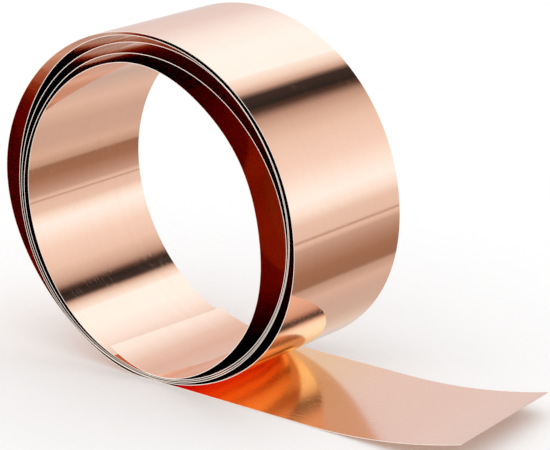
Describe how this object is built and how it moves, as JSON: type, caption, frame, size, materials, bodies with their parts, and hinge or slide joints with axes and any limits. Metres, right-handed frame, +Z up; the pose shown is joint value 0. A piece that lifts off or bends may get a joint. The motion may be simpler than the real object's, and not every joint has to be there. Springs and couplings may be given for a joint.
{
  "type": "copper strip coil",
  "caption": "Loose open coil of thin bright copper strip standing on its edge, with a free tail that lies on the table and curls up at its cut end.",
  "frame": {"origin": "on the resting surface straight below the middle of the coil, halfway across the strip's width", "axes": "+X along the free tail towards its end, +Y along the coil's axis from the front edge to the back edge, +Z up"},
  "size_m": [0.1677, 0.05, 0.1047],
  "materials": {
    "copper": null
  },
  "bodies": {
    "coil": {"foot": "copper", "turn_1_outer": "copper", "turn_2": "copper", "turn_3": "copper", "turn_4": "copper", "turn_5_inner": "copper"},
    "tail_section_1": {"tail_1": "copper"},
    "tail_section_2": {"tail_2": "copper"},
    "tail_section_3": {"tail_3": "copper"},
    "tail_section_4": {"tail_4": "copper"},
    "tail_section_5": {"tail_5": "copper"},
    "inner_section_1": {"inner_end_1": "copper"},
    "inner_section_2": {"inner_end_2": "copper"},
    "inner_section_3": {"inner_end_3": "copper"}
  },
  "joints": [
    {"name": "tail_bend_1", "type": "hinge", "parent": "coil", "child": "tail_section_1", "pos_m": [0.038, 0, 0.0001], "axis": [0, -1, 0], "range_deg": [0, 12], "stiffness_Nm_per_rad": 0.26},
    {"name": "tail_bend_2", "type": "hinge", "parent": "tail_section_1", "child": "tail_section_2", "pos_m": [0.0527, 0, 0.0001], "axis": [0, -1, 0], "range_deg": [0, 12], "stiffness_Nm_per_rad": 0.26},
    {"name": "tail_bend_3", "type": "hinge", "parent": "tail_section_2", "child": "tail_section_3", "pos_m": [0.0674, 0, 0.00033], "axis": [0, -1, 0], "range_deg": [0, 12], "stiffness_Nm_per_rad": 0.26},
    {"name": "tail_bend_4", "type": "hinge", "parent": "tail_section_3", "child": "tail_section_4", "pos_m": [0.08203, 0, 0.00163], "axis": [0, -1, 0], "range_deg": [0, 12], "stiffness_Nm_per_rad": 0.26},
    {"name": "tail_bend_5", "type": "hinge", "parent": "tail_section_4", "child": "tail_section_5", "pos_m": [0.09653, 0, 0.00405], "axis": [0, -1, 0], "range_deg": [0, 12], "stiffness_Nm_per_rad": 0.26},
    {"name": "inner_bend_1", "type": "hinge", "parent": "coil", "child": "inner_section_1", "pos_m": [0.03958, 0, 0.02985], "axis": [0, 1, 0], "range_deg": [0, 10], "stiffness_Nm_per_rad": 0.18},
    {"name": "inner_bend_2", "type": "hinge", "parent": "inner_section_1", "child": "inner_section_2", "pos_m": [0.02717, 0, 0.01197], "axis": [0, 1, 0], "range_deg": [0, 10], "stiffness_Nm_per_rad": 0.18},
    {"name": "inner_bend_3", "type": "hinge", "parent": "inner_section_2", "child": "inner_section_3", "pos_m": [0.00653, 0, 0.00243], "axis": [0, 1, 0], "range_deg": [0, 10], "stiffness_Nm_per_rad": 0.18}
  ],
  "couplings": [
    {"joint": "tail_bend_2", "follows": "tail_bend_1", "ratio": 1},
    {"joint": "tail_bend_3", "follows": "tail_bend_1", "ratio": 1},
    {"joint": "tail_bend_4", "follows": "tail_bend_1", "ratio": 1},
    {"joint": "tail_bend_5", "follows": "tail_bend_1", "ratio": 1},
    {"joint": "inner_bend_2", "follows": "inner_bend_1", "ratio": 1},
    {"joint": "inner_bend_3", "follows": "inner_bend_1", "ratio": 1}
  ]
}
